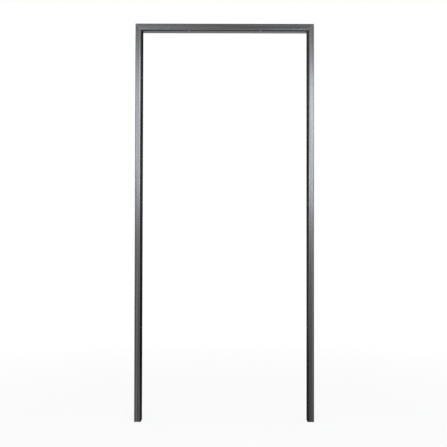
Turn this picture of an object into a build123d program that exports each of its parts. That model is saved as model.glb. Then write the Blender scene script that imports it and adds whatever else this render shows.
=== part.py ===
"""A bare uPVC door frame: two jambs and a head, mitred and held by cleats at the top corners.

X runs across the opening, Y from the face in the photo (minus) to the side that the leaf closes
against (plus), Z up from the feet. Each member's section is drawn once, in its own plane: the first
number is the distance in from the wall side, the second is Y.
"""
import os

from build123d import *

os.makedirs("parts", exist_ok=True)

# Whole frame
frame_width = 900
frame_height = 2000
frame_depth = 100

# Profile section
face_width = 33  # from the wall side to the reveal
stop_height = 10  # how far the reveal stands out past the rebate
rebate_depth = 40  # room for the leaf
wall = 2.4
web = 1.6
front_chamber = 18.6
front_outer_round = 3
front_inner_round = 6
small_round = 1.5
band_width = 10  # two shallow bands on the wall side, the front one for the screw heads
band_depth = 1.2
back_band = 20  # from the back face to the middle of the band

front = -frame_depth / 2
back = frame_depth / 2
stop = back - rebate_depth
rebate_width = face_width - stop_height
steel_front = front + wall + front_chamber + web

# Seal and its groove in the stop
seal_inset = 4.5  # from the reveal
seal_line = face_width - seal_inset
groove_mouth = 3
groove_lip = 1.4
pocket_width = 4.6
pocket_depth = 3
housing_wall = 1.2
housing_front = stop - groove_lip - pocket_depth - housing_wall
seal_clearance = 0.2
stem_overlap = 0.5  # how far the stem runs on into the foot and the base
seal_base_width = 6
seal_base = 1
bulb_radius = 2.6
bulb_wall = 0.9

# Steel reinforcement, pressed against the wall side of its chamber
steel = 1.5
steel_bend = 0.5  # inside radius
steel_side_clearance = 0.4
steel_face_clearance = 0.6
steel_mouth = 12
steel_foot_gap = 6
steel_cleat_gap = 4
steel_low = steel_front + steel_side_clearance
steel_high = housing_front - steel_side_clearance
steel_top = face_width - wall - steel_face_clearance
steel_line = (steel_low + steel_high) / 2

# Corner cleat
cleat_leg = 112  # from the frame's outer corner
cleat_pocket_wall = 3.2
cleat_centre_web = 7
cleat_rib = 12
cleat_hub = 34
cleat_lead_in = 3

# Cleat screws, with flat heads that lie in the front band
screw_radius = 1.95
screw_head_radius = 3.8
screw_head_height = 1
screw_length = 14  # under the head
screw_clearance = 0.15
pilot_spare = 0.5
cleat_screw_places = (58, 92)  # from the outer corner

# Holes for the frame fixings, through the front chamber
fixing_radius = 3.25
fixing_head_radius = 5.4
fixing_inset = 12  # from the front face
fixing_line = front + fixing_inset
jamb_fixing_low = 470  # up from the foot
jamb_fixing_pitch = 630
jamb_fixing_count = 3
head_fixing_pitch = 362

# Planes of the left jamb and the head: local X runs in from the wall side, local Y is Y
left_plane = Plane(origin=(-frame_width / 2, 0, 0), x_dir=(1, 0, 0), z_dir=(0, 0, 1))
head_plane = Plane(
    origin=(-frame_width / 2, 0, frame_height), x_dir=(0, 0, -1), z_dir=(1, 0, 0)
)
left_mitre = Plane(origin=(-frame_width / 2, 0, frame_height), z_dir=(1, 0, 1))
right_mitre = Plane(origin=(frame_width / 2, 0, frame_height), z_dir=(-1, 0, 1))

half = frame_width / 2
jamb_fixings = [jamb_fixing_low + i * jamb_fixing_pitch for i in range(jamb_fixing_count)]
head_fixings = (-head_fixing_pitch / 2, head_fixing_pitch / 2)


def corner(across, deep):
    """The corner of the open sketch that lies nearest to a point."""
    return vertices().sort_by_distance((across, deep, 0))[0]


def box_between(across_0, across_1, deep_0, deep_1, mode=Mode.ADD):
    """A rectangle between four edges, in the open sketch."""
    with Locations(((across_0 + across_1) / 2, (deep_0 + deep_1) / 2)):
        Rectangle(across_1 - across_0, deep_1 - deep_0, mode=mode)


def hollow(across_0, across_1, deep_0, deep_1):
    """A chamber or groove between four edges, cut from the open sketch."""
    box_between(across_0, across_1, deep_0, deep_1, Mode.SUBTRACT)


def profile_section():
    """The hollow profile with its chambers, its door stop and the groove for the seal."""
    box_between(0, face_width, front, stop)
    box_between(0, rebate_width, front, back)
    fillet(corner(0, front), front_outer_round)
    fillet(corner(face_width, front), front_inner_round)
    fillet([corner(face_width, stop), corner(rebate_width, back)], small_round)
    fillet(corner(0, back), small_round)
    # Front chamber for the fixings, main chamber for the steel, two small rear chambers
    hollow(wall, face_width - wall, front + wall, steel_front - web)
    fillet(corner(face_width - wall, front + wall), front_inner_round - wall)
    hollow(wall, face_width - wall, steel_front, stop - wall)
    rear_middle = (stop + back - wall) / 2
    hollow(wall, rebate_width - wall, stop, rear_middle - web / 2)
    hollow(wall, rebate_width - wall, rear_middle + web / 2, back - wall)
    # Seal groove, in a housing that stands inside the main chamber
    half_pocket = pocket_width / 2
    box_between(
        seal_line - half_pocket - housing_wall, face_width - wall / 2, housing_front, stop - wall / 2
    )
    pocket_top = stop - groove_lip
    hollow(seal_line - half_pocket, seal_line + half_pocket, pocket_top - pocket_depth, pocket_top)
    hollow(seal_line - groove_mouth / 2, seal_line + groove_mouth / 2, pocket_top, stop)
    # Shallow bands on the wall side
    for middle in (steel_line, back - back_band):
        hollow(0, band_depth, middle - band_width / 2, middle + band_width / 2)


def steel_section():
    """A lipped channel whose closed side lies against the wall side of the chamber."""
    with Locations(((wall + steel_top) / 2, steel_line)):
        RectangleRounded(steel_top - wall, steel_high - steel_low, steel + steel_bend)
        RectangleRounded(
            steel_top - wall - 2 * steel,
            steel_high - steel_low - 2 * steel,
            steel_bend,
            mode=Mode.SUBTRACT,
        )
    half_mouth = steel_mouth / 2
    hollow(steel_top - 2 * steel, steel_top, steel_line - half_mouth, steel_line + half_mouth)


def seal_section():
    """A foot and stem that lie in the groove, a flat base on the stop and a hollow bulb."""
    foot_half = pocket_width / 2 - seal_clearance
    stem_half = groove_mouth / 2 - seal_clearance
    foot_top = stop - groove_lip - seal_clearance
    foot_low = foot_top - pocket_depth + 2 * seal_clearance
    Polygon(
        (seal_line - foot_half, foot_top),
        (seal_line - stem_half, foot_low),
        (seal_line + stem_half, foot_low),
        (seal_line + foot_half, foot_top),
        align=None,
    )
    box_between(
        seal_line - stem_half, seal_line + stem_half, foot_top - stem_overlap, stop + stem_overlap
    )
    half_base = seal_base_width / 2
    box_between(seal_line - half_base, seal_line + half_base, stop, stop + seal_base)
    bulb_middle = stop + seal_base / 2 + bulb_radius
    with Locations((seal_line, bulb_middle)):
        Circle(bulb_radius)
        Circle(bulb_radius - bulb_wall, mode=Mode.SUBTRACT)


def screw_planes(points, outward):
    """Planes on the wall side of a member, each looking out along a screw's axis."""
    return [Plane(origin=point, z_dir=outward) for point in points]


def screw():
    """One flat-headed screw, its head standing on the open location."""
    Cylinder(screw_radius, screw_length, align=(Align.CENTER, Align.CENTER, Align.MAX))
    Cylinder(screw_head_radius, screw_head_height, align=(Align.CENTER, Align.CENTER, Align.MIN))


left_out, up = (-1, 0, 0), (0, 0, 1)
jamb_cleat_places = screw_planes(
    [(band_depth - half, steel_line, frame_height - d) for d in cleat_screw_places], left_out
)
head_cleat_places = screw_planes(
    [(d - half, steel_line, frame_height - band_depth) for d in cleat_screw_places], up
)
head_cleat_places_right = screw_planes(
    [(half - d, steel_line, frame_height - band_depth) for d in cleat_screw_places], up
)


def wall_screw_holes(places):
    """Clearance holes for the small screws, through the wall side alone."""
    with Locations(*places):
        Hole(screw_radius + screw_clearance, wall)


def fixing_holes(places):
    """Countersunk holes from the reveal out through the whole member."""
    with Locations(*places):
        CounterSinkHole(fixing_radius, fixing_head_radius, face_width)


def pilot_holes(places):
    """Holes that the screws cut in the cleat."""
    with Locations(*places):
        Hole(screw_radius, screw_length + pilot_spare)


# Jambs and head; what is on the right is the left one's mirror image
reveal = face_width - half
with BuildPart() as jamb_left:
    with BuildSketch(left_plane):
        profile_section()
    extrude(amount=frame_height)
    split(bisect_by=left_mitre, keep=Keep.BOTTOM)
    fixing_holes([Plane(origin=(reveal, fixing_line, z), z_dir=(1, 0, 0)) for z in jamb_fixings])
    wall_screw_holes(jamb_cleat_places)

with BuildPart() as jamb_right:
    mirror(jamb_left.part, about=Plane.YZ)

soffit = frame_height - face_width
with BuildPart() as head:
    with BuildSketch(head_plane):
        profile_section()
    extrude(amount=frame_width)
    split(bisect_by=left_mitre, keep=Keep.TOP)
    split(bisect_by=right_mitre, keep=Keep.TOP)
    fixing_holes([Plane(origin=(x, fixing_line, soffit), z_dir=(0, 0, -1)) for x in head_fixings])
    wall_screw_holes(head_cleat_places + head_cleat_places_right)

# Steel reinforcement, which stops short of the cleats
steel_end = cleat_leg + steel_cleat_gap
with BuildPart() as reinforcement_left:
    with BuildSketch(left_plane.offset(steel_foot_gap)):
        steel_section()
    extrude(amount=frame_height - steel_end - steel_foot_gap)

with BuildPart() as reinforcement_right:
    mirror(reinforcement_left.part, about=Plane.YZ)

with BuildPart() as reinforcement_head:
    with BuildSketch(head_plane.offset(steel_end)):
        steel_section()
    extrude(amount=frame_width - 2 * steel_end)

# Corner cleats, drawn for the left corner in the plane of their middle web
cleat_plane = Plane(origin=(0, steel_line, 0), x_dir=(1, 0, 0), z_dir=(0, -1, 0))
cleat_depth = steel_high - steel_low
cleat_thick = steel_top - wall
cleat_outer = wall - half
cleat_top = frame_height - wall
cleat_reach = cleat_leg - wall
pocket_start = cleat_hub + cleat_pocket_wall
pocket_length = (cleat_reach - pocket_start - cleat_pocket_wall - cleat_rib) / 2
pocket_wide = cleat_thick - 2 * cleat_pocket_wall

with BuildPart() as corner_cleat_left:
    with BuildSketch(cleat_plane):
        box_between(cleat_outer, cleat_outer + cleat_reach, cleat_top - cleat_thick, cleat_top)
        box_between(cleat_outer, cleat_outer + cleat_thick, cleat_top - cleat_reach, cleat_top)
    extrude(amount=cleat_depth / 2, both=True)
    # The legs taper at their ends, so that they start into the chambers
    leg_ends = [faces().sort_by(Axis.X)[-1], faces().sort_by(Axis.Z)[0]]
    chamfer([edge for end in leg_ends for edge in end.edges()], cleat_lead_in / 3, cleat_lead_in)
    # Two pockets in each leg, from both faces, leave a middle web for the screws
    for face in (1, -1):
        with BuildSketch(cleat_plane.offset(face * cleat_centre_web / 2)):
            for pocket in (0, 1):
                along = pocket_start + pocket_length / 2 + pocket * (pocket_length + cleat_rib)
                with Locations((cleat_outer + along, cleat_top - cleat_thick / 2)):
                    Rectangle(pocket_length, pocket_wide)
                with Locations((cleat_outer + cleat_thick / 2, cleat_top - along)):
                    Rectangle(pocket_wide, pocket_length)
        extrude(amount=face * (cleat_depth - cleat_centre_web) / 2, mode=Mode.SUBTRACT)
    pilot_holes(jamb_cleat_places + head_cleat_places)

with BuildPart() as corner_cleat_right:
    mirror(corner_cleat_left.part, about=Plane.YZ)

# Cleat screws, one group for each corner
with BuildPart() as cleat_screws_left:
    with Locations(*jamb_cleat_places, *head_cleat_places):
        screw()

with BuildPart() as cleat_screws_right:
    mirror(cleat_screws_left.part, about=Plane.YZ)

# Seals, mitred with the profiles
with BuildPart() as seal_left:
    with BuildSketch(left_plane):
        seal_section()
    extrude(amount=frame_height)
    split(bisect_by=left_mitre, keep=Keep.BOTTOM)

with BuildPart() as seal_right:
    mirror(seal_left.part, about=Plane.YZ)

with BuildPart() as seal_head:
    with BuildSketch(head_plane):
        seal_section()
    extrude(amount=frame_width)
    split(bisect_by=left_mitre, keep=Keep.TOP)
    split(bisect_by=right_mitre, keep=Keep.TOP)

pieces = {
    "jamb_left": jamb_left,
    "jamb_right": jamb_right,
    "head": head,
    "reinforcement_left": reinforcement_left,
    "reinforcement_right": reinforcement_right,
    "reinforcement_head": reinforcement_head,
    "corner_cleat_left": corner_cleat_left,
    "corner_cleat_right": corner_cleat_right,
    "cleat_screws_left": cleat_screws_left,
    "cleat_screws_right": cleat_screws_right,
    "seal_left": seal_left,
    "seal_right": seal_right,
    "seal_head": seal_head,
}
for name, piece in pieces.items():
    piece.part.label = name
    export_step(piece.part, f"parts/{name}.step")
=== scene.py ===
"""A single door frame of uPVC profiles in dark grey wood-grain foil, bare, without its leaf."""

import math

import bmesh
import bpy
from mathutils import Euler, Matrix, Vector


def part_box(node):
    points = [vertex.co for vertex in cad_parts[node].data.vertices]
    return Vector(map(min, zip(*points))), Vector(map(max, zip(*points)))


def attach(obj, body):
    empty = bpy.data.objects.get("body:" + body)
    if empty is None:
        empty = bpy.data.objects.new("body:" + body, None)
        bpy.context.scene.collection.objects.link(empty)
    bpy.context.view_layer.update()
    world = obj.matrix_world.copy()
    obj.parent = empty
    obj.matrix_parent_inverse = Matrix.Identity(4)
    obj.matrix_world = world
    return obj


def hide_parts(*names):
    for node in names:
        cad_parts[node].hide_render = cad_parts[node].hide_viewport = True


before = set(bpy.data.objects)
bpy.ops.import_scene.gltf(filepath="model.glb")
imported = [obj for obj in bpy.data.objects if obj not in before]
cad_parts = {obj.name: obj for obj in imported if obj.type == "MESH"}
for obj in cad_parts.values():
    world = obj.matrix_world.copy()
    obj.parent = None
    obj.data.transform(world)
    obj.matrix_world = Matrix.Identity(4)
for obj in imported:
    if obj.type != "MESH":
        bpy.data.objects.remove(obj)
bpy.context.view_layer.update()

MM = 0.001

# The frame's sizes, read from its pieces
LEFT_LOW, LEFT_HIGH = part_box("jamb_left")
HALF_WIDTH = -LEFT_LOW.x
HEIGHT = LEFT_HIGH.z
FRONT = LEFT_LOW.y
BACK = LEFT_HIGH.y
FACE_WIDTH = LEFT_HIGH.x - LEFT_LOW.x

# The profile's own details, as they were drawn; a line is a place in its depth
STOP_FACE = FRONT + 60 * MM
REBATE_WIDTH = FACE_WIDTH - 10 * MM
WALL = 2.4 * MM
BAND_DEPTH = 1.2 * MM
SCREW_LINE = -11.5 * MM
FIXING_LINE = -38 * MM
FIXING_HEAD_RADIUS = 5.4 * MM
FIRST_JAMB_FIXING = 470 * MM
JAMB_FIXING_SPACING = 630 * MM
HEAD_FIXING_SPACING = 362 * MM
CLEAT_SCREW_PLACES = (58 * MM, 92 * MM)


def linear(hex_colour):
    """Turns an sRGB hex colour to the linear colour that a shader takes."""
    parts = [int(hex_colour[i : i + 2], 16) / 255 for i in (1, 3, 5)]
    return [p / 12.92 if p <= 0.04045 else ((p + 0.055) / 1.055) ** 2.4 for p in parts] + [1.0]


def add(tree, kind, inputs=None, output=0, **settings):
    """Adds a node with its settings and links, and returns one of its outputs, if it has any."""
    node = tree.nodes.new(kind)
    for name, value in settings.items():
        setattr(node, name, value)
    for name, value in (inputs or {}).items():
        if isinstance(value, bpy.types.NodeSocket):
            tree.links.new(value, node.inputs[name])
        else:
            node.inputs[name].default_value = value
    return node.outputs[output] if node.outputs else None


def shades(ramp, *stops):
    """Gives a colour ramp its shades, each at its place from 0 to 1."""
    elements = ramp.node.color_ramp.elements
    while len(elements) < len(stops):
        elements.new(0.5)
    for element, (place, hex_colour) in zip(elements, stops):
        element.position = place
        element.color = linear(hex_colour)
    return ramp


def start_material(name):
    """A material with an empty tree."""
    material = bpy.data.materials.new(name)
    material.use_nodes = True
    material.node_tree.nodes.clear()
    return material, material.node_tree


def in_band(tree, value, low, high):
    """1 where a value lies between two limits, else 0."""
    limits = {0: value, 1: (low + high) / 2, 2: (high - low) / 2}
    return add(tree, "ShaderNodeMath", limits, operation="COMPARE")


# Finishes of the profiles
def across_and_along(tree, member, place):
    """How far a point lies in from the wall side of its profile, and along it."""
    x, y, z = place
    if member == "head":
        return add(tree, "ShaderNodeMath", {0: HEIGHT, 1: z}, operation="SUBTRACT"), x
    if member == "jamb_left":
        return add(tree, "ShaderNodeMath", {0: x, 1: HALF_WIDTH}, operation="ADD"), z
    return add(tree, "ShaderNodeMath", {0: HALF_WIDTH, 1: x}, operation="SUBTRACT"), z


def bare_core(tree, member, place, across, along):
    """How bare the foil leaves the core, from 0 to 1: bare in the chambers, on the wall side and at
    the cut feet, and partly so in the countersinks of the wall fixings, whose white is held back as
    painted shade."""
    _, y, z = place
    clear = 0.1 * MM
    skin = WALL - 2 * clear
    foil_return = 3.5 * MM
    # Each stretch of the section: how far in from the wall side, then how far back
    stretches = (
        (skin, FACE_WIDTH - skin, FRONT + skin, STOP_FACE - skin),
        (skin, REBATE_WIDTH - skin, FRONT + skin, BACK - skin),
        (-clear, BAND_DEPTH + clear, FRONT + foil_return, BACK - foil_return),
    )
    shares = []
    for outer, inner, near, far in stretches:
        limits = {0: in_band(tree, across, outer, inner), 1: in_band(tree, y, near, far)}
        shares.append(add(tree, "ShaderNodeMath", limits, operation="MULTIPLY"))
    if member != "head":
        cut_foot = in_band(tree, z, -clear, clear / 2)
        shares.append(cut_foot)
    # How far a point lies from the axis of the nearest wall fixing
    if member == "head":
        spacing, first = HEAD_FIXING_SPACING, HEAD_FIXING_SPACING / 2
    else:
        spacing, first = JAMB_FIXING_SPACING, FIRST_JAMB_FIXING
    from_first = add(tree, "ShaderNodeMath", {0: along, 1: first}, operation="SUBTRACT")
    from_nearest = add(
        tree, "ShaderNodeMath", {0: from_first, 1: -spacing / 2, 2: spacing / 2}, operation="WRAP"
    )
    from_line = add(tree, "ShaderNodeMath", {0: y, 1: FIXING_LINE}, operation="SUBTRACT")
    offset = add(tree, "ShaderNodeCombineXYZ", {"X": from_nearest, "Y": from_line})
    from_axis = add(tree, "ShaderNodeVectorMath", {0: offset}, output="Value", operation="LENGTH")
    # The countersinks' white shows at under half strength: painted shade in these recesses
    white_under_painted_shade = 0.45
    drilled = in_band(tree, from_axis, -clear, FIXING_HEAD_RADIUS - clear / 2)
    bare = add(tree, "ShaderNodeMath", {0: drilled, 1: white_under_painted_shade}, operation="MULTIPLY")
    for share in shares:
        bare = add(tree, "ShaderNodeMath", {0: bare, 1: share}, operation="MAXIMUM")
    return bare


def woodgrain_upvc(member):
    """Unplasticised PVC, extruded, under a laminated foil that is printed and embossed as oak and
    lacquered. The eye gets a dark grey with long pale and dark streaks, fine pores and a satin
    gloss, and a white core where the profile is cut."""
    material, tree = start_material(f"woodgrain_upvc_{member}")
    position = add(tree, "ShaderNodeNewGeometry", output="Position")
    place = add(tree, "ShaderNodeSeparateXYZ", {"Vector": position}).node.outputs
    across, along = across_and_along(tree, member, place)
    grain_axis = 0 if member == "head" else 2

    def along_the_grain(width, length, shift, detail):
        """A pattern of marks this wide and long, which run with the member."""
        scale = [1 / width] * 3
        scale[grain_axis] = 1 / length
        squeezed = add(
            tree,
            "ShaderNodeMapping",
            {"Vector": position, "Scale": scale, "Location": [shift] * 3},
        )
        return add(
            tree, "ShaderNodeTexNoise", {"Vector": squeezed, "Scale": 1.0, "Detail": detail}
        )

    # Pores of oak are about 0.3 mm wide and 10 mm long; here they are 1 mm by 45 mm, to show
    pores = along_the_grain(width=1.0 * MM, length=45 * MM, shift=3.1, detail=2.0)
    # Growth rings cut along the board, which lie 5 to 10 mm apart on the face
    rings = along_the_grain(width=5.4 * MM, length=900 * MM, shift=8.9, detail=1.0)
    # Paler and darker lengths of board, about 300 mm long
    boards = along_the_grain(width=26 * MM, length=300 * MM, shift=23.3, detail=0.0)
    ring_share = 0.88
    figure = add(
        tree, "ShaderNodeMath", {0: rings, 1: ring_share, 2: 0.0}, operation="MULTIPLY_ADD"
    )
    figure = add(
        tree, "ShaderNodeMath", {0: boards, 1: 1 - ring_share, 2: figure}, operation="MULTIPLY_ADD"
    )
    foil = shades(
        add(tree, "ShaderNodeValToRGB", {"Fac": figure}, output="Color"),
        (0.4, "#171616"),
        (0.5, "#292827"),
        (0.6, "#4d4b4a"),
    )
    open_pores = add(
        tree,
        "ShaderNodeMapRange",
        {"Value": pores, "From Min": 0.34, "From Max": 0.44, "To Min": 0.4, "To Max": 0.0},
    )
    foil = add(
        tree,
        "ShaderNodeMix",
        {0: open_pores, 6: foil, 7: linear("#191919")},
        output=2,
        data_type="RGBA",
    )
    # At the mitre the foil's cut edges show as a pale hairline, drawn 2.5 mm wide to show
    if member == "head":
        from_middle = add(tree, "ShaderNodeMath", {0: along}, operation="ABSOLUTE")
        ends = {0: HALF_WIDTH, 1: from_middle}
    else:
        ends = {0: HEIGHT, 1: along}
    from_end = add(tree, "ShaderNodeMath", ends, operation="SUBTRACT")
    past_mitre = add(tree, "ShaderNodeMath", {0: from_end, 1: across}, operation="SUBTRACT")
    half_line = 1.8 * MM
    hairline = in_band(tree, past_mitre, -half_line, half_line)
    hairline_strength = 0.25
    mitre = add(
        tree, "ShaderNodeMath", {0: hairline, 1: hairline_strength}, operation="MULTIPLY"
    )
    foil = add(
        tree,
        "ShaderNodeMix",
        {0: mitre, 6: foil, 7: linear("#8f9092")},
        output=2,
        data_type="RGBA",
    )
    # Painted shade: the foil's colour is darkened round its inner and outer bends, on the reveals,
    # on the jambs' face beside the inner bend and under the head's front edge; there it is matt,
    # without gloss
    normal = add(tree, "ShaderNodeNewGeometry", output="Normal")
    facing = add(tree, "ShaderNodeSeparateXYZ", {"Vector": normal}).node.outputs

    def turned_away(start, end):
        """0 to 1 as the surface turns from facing the front, which is -1, to facing sideways, 0."""
        limits = {"From Min": start, "From Max": end, "To Min": 0.0, "To Max": 1.0}
        return add(tree, "ShaderNodeMapRange", {"Value": facing[1], **limits})

    if member == "jamb_left":
        inward = facing[0]
    else:
        sideways = facing[2] if member == "head" else facing[0]
        inward = add(tree, "ShaderNodeMath", {0: sideways, 1: -1.0}, operation="MULTIPLY")
    leaning, past_straight = 0.3, 1.1
    inner_side = in_band(tree, inward, leaning, past_straight)
    outer_side = in_band(tree, inward, -past_straight, -leaning)
    if member == "head":
        # Under the head the shade is deepest by the front edge, and weaker past its first 26 mm
        near_edge = add(
            tree,
            "ShaderNodeMapRange",
            {
                "Value": place[1],
                "From Min": FRONT + 16 * MM,
                "From Max": FRONT + 26 * MM,
                "To Min": 0.8,
                "To Max": 0.22,
            },
        )
        bend = turned_away(start=-0.68, end=-0.53)
        soffit = add(tree, "ShaderNodeMath", {0: bend, 1: near_edge}, operation="MULTIPLY")
        inner_shade = add(
            tree, "ShaderNodeMath", {0: soffit, 1: inner_side}, operation="MULTIPLY"
        )
    else:
        # On the jambs the shade starts on the face, a little before the bend
        beside_bend = add(
            tree,
            "ShaderNodeMapRange",
            {
                "Value": across,
                "From Min": FACE_WIDTH - 7.6 * MM,
                "From Max": FACE_WIDTH - 5.4 * MM,
                "To Min": 0.0,
                "To Max": 1.0,
            },
        )
        bend = turned_away(start=-0.99, end=-0.93)
        reveal = add(tree, "ShaderNodeMath", {0: bend, 1: inner_side}, operation="MULTIPLY")
        inner_shade = add(
            tree, "ShaderNodeMath", {0: reveal, 1: beside_bend}, operation="MAXIMUM"
        )
    bend = turned_away(start=-0.85, end=-0.6)
    outer_bend = add(tree, "ShaderNodeMath", {0: bend, 1: outer_side}, operation="MULTIPLY")
    outer_strength = 0.8
    outer_shade = add(
        tree, "ShaderNodeMath", {0: outer_bend, 1: outer_strength}, operation="MULTIPLY"
    )
    shaded = add(tree, "ShaderNodeMath", {0: inner_shade, 1: outer_shade}, operation="MAXIMUM")
    # The near black mixed in below is painted shade
    painted_shade_strength = 0.5
    painted_shade = add(tree, "ShaderNodeMath", {0: shaded, 1: painted_shade_strength}, operation="MULTIPLY")
    foil = add(
        tree,
        "ShaderNodeMix",
        {0: painted_shade, 6: foil, 7: linear("#0e0e0f")},
        output=2,
        data_type="RGBA",
    )
    # The core is white, with faint grey lines that the die leaves along it
    white = shades(
        add(tree, "ShaderNodeValToRGB", {"Fac": figure}, output="Color"),
        (0.34, "#d8d8d4"),
        (0.5, "#dededa"),
        (0.66, "#e3e3df"),
    )
    core = bare_core(tree, member, place, across, along)
    colour = add(
        tree, "ShaderNodeMix", {0: core, 6: foil, 7: white}, output=2, data_type="RGBA"
    )
    # The lacquer is satin, and glossier on the pale rings; the shaded foil and the core are matt
    lacquer = add(
        tree,
        "ShaderNodeMapRange",
        {"Value": figure, "From Min": 0.36, "From Max": 0.64, "To Min": 0.29, "To Max": 0.21},
    )
    matt, plain_gloss, no_gloss = 0.75, 0.5, 0.0
    dull = add(tree, "ShaderNodeMath", {0: shaded, 1: core}, operation="MAXIMUM")
    rough = add(tree, "ShaderNodeMix", {0: dull, 2: lacquer, 3: matt}, data_type="FLOAT")
    gloss = add(
        tree, "ShaderNodeMix", {0: shaded, 2: plain_gloss, 3: no_gloss}, data_type="FLOAT"
    )
    pore_depth = 0.3
    relief = add(
        tree, "ShaderNodeMath", {0: pores, 1: pore_depth, 2: rings}, operation="MULTIPLY_ADD"
    )
    emboss = add(
        tree, "ShaderNodeBump", {"Height": relief, "Strength": 0.15, "Distance": 0.25 * MM}
    )
    shader = add(
        tree,
        "ShaderNodeBsdfPrincipled",
        {
            "Base Color": colour,
            "Roughness": rough,
            "IOR": 1.5,
            "Specular IOR Level": gloss,
            "Normal": emboss,
        },
    )
    add(tree, "ShaderNodeOutputMaterial", {"Surface": shader})
    return material


def galvanised_steel():
    """Mild steel strip, hot-dip galvanised, then rolled to a channel: a cool light grey whose zinc
    crystals differ in shine from one to the next."""
    material, tree = start_material("galvanised_steel")
    position = add(tree, "ShaderNodeNewGeometry", output="Position")
    crystal_size = 7 * MM
    crystals = add(
        tree,
        "ShaderNodeTexVoronoi",
        {"Vector": position, "Scale": 1 / crystal_size},
        output="Color",
    )
    shine = add(tree, "ShaderNodeMapRange", {"Value": crystals, "To Min": 0.3, "To Max": 0.5})
    tone = shades(
        add(tree, "ShaderNodeValToRGB", {"Fac": crystals}, output="Color"),
        (0.2, "#a3a7aa"),
        (0.8, "#c6c9cb"),
    )
    shader = add(
        tree, "ShaderNodeBsdfPrincipled", {"Base Color": tone, "Metallic": 1.0, "Roughness": shine}
    )
    add(tree, "ShaderNodeOutputMaterial", {"Surface": shader})
    return material


def cast_aluminium():
    """Aluminium, die-cast and left as cast: a dull mid grey with a fine pebbled skin and flow
    marks."""
    material, tree = start_material("cast_aluminium")
    position = add(tree, "ShaderNodeNewGeometry", output="Position")
    pebble_size, flow_size = 0.8 * MM, 25 * MM
    pebbles = add(
        tree, "ShaderNodeTexNoise", {"Vector": position, "Scale": 1 / pebble_size, "Detail": 3.0}
    )
    flow = add(
        tree, "ShaderNodeTexNoise", {"Vector": position, "Scale": 1 / flow_size, "Distortion": 2.0}
    )
    tone = shades(
        add(tree, "ShaderNodeValToRGB", {"Fac": flow}, output="Color"),
        (0.3, "#95979a"),
        (0.7, "#b2b4b6"),
    )
    relief = add(
        tree, "ShaderNodeBump", {"Height": pebbles, "Strength": 0.4, "Distance": 0.05 * MM}
    )
    shader = add(
        tree,
        "ShaderNodeBsdfPrincipled",
        {"Base Color": tone, "Metallic": 1.0, "Roughness": 0.55, "Normal": relief},
    )
    add(tree, "ShaderNodeOutputMaterial", {"Surface": shader})
    return material


def zinc_plated_steel():
    """Hardened steel screws, zinc plated and blue passivated: bright, with a faint blue and rubbed
    patches."""
    material, tree = start_material("zinc_plated_steel")
    position = add(tree, "ShaderNodeNewGeometry", output="Position")
    patch_size = 1.5 * MM
    rubbed = add(
        tree, "ShaderNodeTexNoise", {"Vector": position, "Scale": 1 / patch_size, "Detail": 3.0}
    )
    shine = add(tree, "ShaderNodeMapRange", {"Value": rubbed, "To Min": 0.18, "To Max": 0.42})
    tone = shades(
        add(tree, "ShaderNodeValToRGB", {"Fac": rubbed}, output="Color"),
        (0.3, "#b3bac4"),
        (0.7, "#d2d4d6"),
    )
    shader = add(
        tree, "ShaderNodeBsdfPrincipled", {"Base Color": tone, "Metallic": 1.0, "Roughness": shine}
    )
    add(tree, "ShaderNodeOutputMaterial", {"Surface": shader})
    return material


def seal_rubber():
    """Thermoplastic rubber, extruded: a near black, dull skin, finely grained, with a little pale
    dust."""
    material, tree = start_material("seal_rubber")
    position = add(tree, "ShaderNodeNewGeometry", output="Position")
    dust_size, grain_size = 9 * MM, 0.6 * MM
    dust = add(
        tree, "ShaderNodeTexNoise", {"Vector": position, "Scale": 1 / dust_size, "Detail": 5.0}
    )
    tone = shades(
        add(tree, "ShaderNodeValToRGB", {"Fac": dust}, output="Color"),
        (0.35, "#121213"),
        (0.75, "#2c2c2d"),
    )
    grain = add(
        tree, "ShaderNodeTexNoise", {"Vector": position, "Scale": 1 / grain_size, "Detail": 2.0}
    )
    relief = add(
        tree, "ShaderNodeBump", {"Height": grain, "Strength": 0.3, "Distance": 0.03 * MM}
    )
    rough = add(tree, "ShaderNodeMapRange", {"Value": dust, "To Min": 0.5, "To Max": 0.75})
    shader = add(
        tree,
        "ShaderNodeBsdfPrincipled",
        {"Base Color": tone, "Roughness": rough, "IOR": 1.5, "Normal": relief},
    )
    add(tree, "ShaderNodeOutputMaterial", {"Surface": shader})
    return material


def dress(node, material):
    """Gives a piece of the frame its finish."""
    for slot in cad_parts[node].material_slots:
        slot.material = material


for member in ("jamb_left", "jamb_right", "head"):
    dress(member, woodgrain_upvc(member))
steel = galvanised_steel()
for node in ("reinforcement_left", "reinforcement_right", "reinforcement_head"):
    dress(node, steel)
aluminium = cast_aluminium()
for node in ("corner_cleat_left", "corner_cleat_right"):
    dress(node, aluminium)
rubber = seal_rubber()
for node in ("seal_left", "seal_right", "seal_head"):
    dress(node, rubber)
plating = zinc_plated_steel()
for node in ("cleat_screws_left", "cleat_screws_right"):
    dress(node, plating)


# Screws, drawn with the head's dome, its cross recess and the thread
def level_ring(bm, radii, height):
    """A ring of points about the Z axis, one at each radius, all at one height."""
    ring = []
    for k, radius in enumerate(radii):
        angle = 2 * math.pi * k / len(radii)
        ring.append(bm.verts.new((radius * math.cos(angle), radius * math.sin(angle), height)))
    return ring


def join_rings(bm, rings):
    """Puts faces between each ring and the next, and over the first and the last."""
    for low, high in zip(rings, rings[1:]):
        for k in range(len(low)):
            after = (k + 1) % len(low)
            bm.faces.new((low[k], low[after], high[after], high[k]))
    bm.faces.new(list(reversed(rings[0])))
    bm.faces.new(rings[-1])


def finished_mesh(bm, name):
    """Turns the faces of a closed shape outward and keeps it as a mesh."""
    bmesh.ops.recalc_face_normals(bm, faces=bm.faces)
    mesh = bpy.data.meshes.new(name)
    bm.to_mesh(mesh)
    bm.free()
    return mesh


def put_in_scene(data, name):
    """An object of its own for a mesh, a lamp or a camera."""
    made = bpy.data.objects.new(name, data)
    bpy.context.collection.objects.link(made)
    return made


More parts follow.
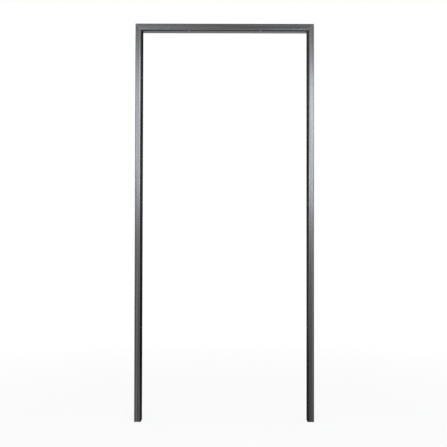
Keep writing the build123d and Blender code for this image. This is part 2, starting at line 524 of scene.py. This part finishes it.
def screw_head():
    """A flat dome with a cross recess, its seat at height 0."""
    bm = bmesh.new()
    around = 40
    # The dome's radius and height in millimetres, from its seat up
    dome = [(3.8, 0), (3.8, 0.3), (3.55, 0.62), (3.0, 0.83), (2.2, 0.95), (1.0, 1.0)]
    rings = []
    for radius, height in dome:
        rings.append(level_ring(bm, [radius * MM] * around, height * MM))
    join_rings(bm, rings)
    head = put_in_scene(finished_mesh(bm, "screw_head"), "screw_head")
    # The driver's tip: two crossed bars, narrower at the bottom
    bar_length, bar_width, bar_height = 4.2 * MM, 0.9 * MM, 1.2 * MM
    bar_middle = 0.85 * MM
    taper = 0.55
    bm = bmesh.new()
    for turn in (0, math.pi / 2):
        bar = bmesh.ops.create_cube(bm, size=1)["verts"]
        bmesh.ops.scale(bm, vec=(bar_length, bar_width, bar_height), verts=bar)
        for vert in bar:
            if vert.co.z < 0:
                vert.co.x *= taper
        bmesh.ops.translate(bm, vec=(0, 0, bar_middle), verts=bar)
        bmesh.ops.rotate(bm, matrix=Matrix.Rotation(turn, 3, "Z"), verts=bar)
    driver = put_in_scene(finished_mesh(bm, "driver_tip"), "driver_tip")
    recess = head.modifiers.new("recess", "BOOLEAN")
    recess.operation = "DIFFERENCE"
    recess.solver = "EXACT"
    recess.use_self = True
    recess.object = driver
    bpy.context.view_layer.update()
    cut = bpy.data.meshes.new_from_object(head.evaluated_get(bpy.context.evaluated_depsgraph_get()))
    bpy.data.objects.remove(head)
    bpy.data.objects.remove(driver)
    return cut


def screw_shank(length):
    """A thread of one turn each 1.3 mm that ends in a point, below height 0."""
    around = 16
    rows_a_turn = 4
    pitch = 1.3 * MM
    crest, root = 1.95 * MM, 1.4 * MM
    point_length = 3 * MM
    blunt = 0.05
    steps = round(rows_a_turn * length / pitch)
    bm = bmesh.new()
    rings = []
    for row in range(steps + 1):
        depth = length * row / steps
        narrowing = min(1, (length - depth) / point_length + blunt)
        radii = []
        for k in range(around):
            turns = depth / pitch - k / around
            ridge = abs(2 * (turns % 1) - 1)
            radii.append((root + (crest - root) * ridge) * narrowing)
        rings.append(level_ring(bm, radii, -depth))
    join_rings(bm, rings)
    return finished_mesh(bm, "screw_shank")


def screw_group(name, shank, places):
    """Screws in one piece; each place is a screw's seat, the way its head looks, and its turn."""
    bm = bmesh.new()
    for seat, outward, turn in places:
        stand = Vector(outward).to_track_quat("Z", "Y").to_matrix().to_4x4()
        stand = Matrix.Translation(seat) @ stand @ Matrix.Rotation(turn, 4, "Z")
        for part in (head_mesh, shank):
            start = len(bm.verts)
            bm.from_mesh(part)
            bm.verts.ensure_lookup_table()
            bmesh.ops.transform(bm, matrix=stand, verts=bm.verts[start:])
    mesh = finished_mesh(bm, name)
    mesh.materials.append(plating)
    mesh.shade_smooth()
    mesh.set_sharp_from_angle(angle=math.radians(40))
    group = put_in_scene(mesh, name)
    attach(group, "root")
    return group


head_mesh = screw_head()
cleat_shank = screw_shank(14 * MM)
steel_shank = screw_shank(12 * MM)
JAMB_SEAT = HALF_WIDTH - BAND_DEPTH
HEAD_SEAT = HEIGHT - BAND_DEPTH
UPWARD = (0, 0, 1)
LOWEST_STEEL_SCREW = 120 * MM
STEEL_SCREW_SPACING = 277 * MM
STEEL_SCREWS_IN_JAMB = 7
STEEL_SCREWS_IN_HEAD = (-250 * MM, 0, 250 * MM)
# Each screw has come to rest at a turn of its own, in radians
for side, sign in (("left", -1), ("right", 1)):
    outward = (sign, 0, 0)
    places = []
    for k, place in enumerate(CLEAT_SCREW_PLACES):
        in_jamb = (sign * JAMB_SEAT, SCREW_LINE, HEIGHT - place)
        in_head = (sign * (HALF_WIDTH - place), SCREW_LINE, HEAD_SEAT)
        places.append((in_jamb, outward, 0.4 + 1.1 * k))
        places.append((in_head, UPWARD, 0.9 + 0.7 * k))
    corner_screws = screw_group(f"corner_screws_{side}", cleat_shank, places)
    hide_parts(f"cleat_screws_{side}")
    places = []
    for k in range(STEEL_SCREWS_IN_JAMB):
        height = LOWEST_STEEL_SCREW + STEEL_SCREW_SPACING * k
        places.append(((sign * JAMB_SEAT, SCREW_LINE, height), outward, 0.8 * k + sign))
    screw_group(f"steel_screws_{side}", steel_shank, places)
places = []
for k, along in enumerate(STEEL_SCREWS_IN_HEAD):
    places.append(((along, SCREW_LINE, HEAD_SEAT), UPWARD, 0.5 + 0.9 * k))
screw_group("steel_screws_head", steel_shank, places)


# Studio
def seen_as_white(tree):
    """1 for what the camera sees, straight or by way of gloss, and 0 for the light on things."""
    ray = add(tree, "ShaderNodeLightPath").node.outputs
    seen = ray["Is Camera Ray"]
    for way in ("Is Glossy Ray", "Is Transmission Ray"):
        seen = add(tree, "ShaderNodeMath", {0: seen, 1: ray[way]}, operation="MAXIMUM")
    return seen


def studio_white():
    """Matt white paint, rolled on: plain white to the camera and in reflections, but for a share of
    its own light and shadow near the frame, which fades out further off."""
    material, tree = start_material("floor_white")
    paint_share = 0.12
    fade_start, fade_end = 1.0, 3.0
    position = add(tree, "ShaderNodeNewGeometry", output="Position")
    from_frame = add(
        tree, "ShaderNodeVectorMath", {0: position}, output="Value", operation="LENGTH"
    )
    plain = add(
        tree,
        "ShaderNodeMapRange",
        {
            "Value": from_frame,
            "From Min": fade_start,
            "From Max": fade_end,
            "To Min": 1 - paint_share,
            "To Max": 1.0,
        },
    )
    whiteness = add(
        tree, "ShaderNodeMath", {0: seen_as_white(tree), 1: plain}, operation="MULTIPLY"
    )
    paint = add(tree, "ShaderNodeBsdfDiffuse", {"Color": linear("#dcdcdc")})
    white = add(tree, "ShaderNodeEmission", {"Color": linear("#ffffff"), "Strength": 1.0})
    mixed = add(tree, "ShaderNodeMixShader", {0: whiteness, 1: paint, 2: white})
    add(tree, "ShaderNodeOutputMaterial", {"Surface": mixed})
    # Its white lights nothing, so no light samples are spent on it
    material.cycles.emission_sampling = "NONE"
    return material


REACH = 12.0
floor_mesh = bpy.data.meshes.new("floor")
corners = [(-REACH, -REACH, 0), (REACH, -REACH, 0), (REACH, REACH, 0), (-REACH, REACH, 0)]
floor_mesh.from_pydata(corners, [], [(0, 1, 2, 3)])
floor_mesh.materials.append(studio_white())
put_in_scene(floor_mesh, "floor")


def softbox(name, centre, aim, width, height, power):
    """A rectangular soft lamp of a cool white that faces a point."""
    lamp = bpy.data.lights.new(name, "AREA")
    lamp.shape = "RECTANGLE"
    lamp.size = width
    lamp.size_y = height
    lamp.energy = power
    lamp.color = (0.87, 0.92, 1.0)
    placed = put_in_scene(lamp, name)
    placed.location = centre
    placed.rotation_euler = (Vector(aim) - Vector(centre)).to_track_quat("-Z", "Y").to_euler()


# Two tall soft lamps beside the camera, whose gloss lies on the upper half of the jambs
softbox(
    "softbox_left",
    centre=(-1.0, -3.9, 2.02),
    aim=(-0.43, 0, 2.02),
    width=0.55,
    height=1.45,
    power=62,
)
softbox(
    "softbox_right",
    centre=(0.92, -3.9, 1.92),
    aim=(0.43, 0, 1.92),
    width=0.55,
    height=1.42,
    power=58,
)
# Two faint ones beneath them, for the slower fall of the gloss towards the feet
softbox(
    "low_softbox_left",
    centre=(-1.0, -3.9, 0.6),
    aim=(-0.43, 0, 0.6),
    width=0.55,
    height=0.8,
    power=3,
)
softbox(
    "low_softbox_right",
    centre=(0.92, -3.9, 0.6),
    aim=(0.43, 0, 0.6),
    width=0.55,
    height=0.8,
    power=3,
)
# A wide one above, for the wall side of the head
softbox(
    "overhead",
    centre=(0, -0.6, 4.2),
    aim=(0, -0.6, 0),
    width=3.0,
    height=3.0,
    power=14,
)

# The room lights the frame from all round, and shows as plain white
WORLD_LIGHT = 0.7
world = bpy.data.worlds.new("studio")
bpy.context.scene.world = world
world.use_nodes = True
room = world.node_tree
room.nodes.clear()
level = add(
    room, "ShaderNodeMix", {0: seen_as_white(room), 2: WORLD_LIGHT, 3: 1.0}, data_type="FLOAT"
)
white_room = add(room, "ShaderNodeBackground", {"Color": linear("#ffffff"), "Strength": level})
add(room, "ShaderNodeOutputWorld", {"Surface": white_room})

# Camera, where the photograph was taken from
lens = bpy.data.cameras.new("camera")
lens.lens = 61.75
lens.shift_x = -0.0349
lens.shift_y = 0.0057
camera = put_in_scene(lens, "camera")
camera.location = (0.0596, -3.897, 0.914)
yaw, pitch, roll = (math.radians(turn) for turn in (-0.209, 0.976, 0.085))
level_view = Euler((math.pi / 2 + pitch, 0, yaw)).to_matrix()
camera.rotation_euler = (level_view @ Matrix.Rotation(roll, 3, "Z")).to_euler()
bpy.context.scene.camera = camera
bpy.context.scene.view_settings.view_transform = "Standard"
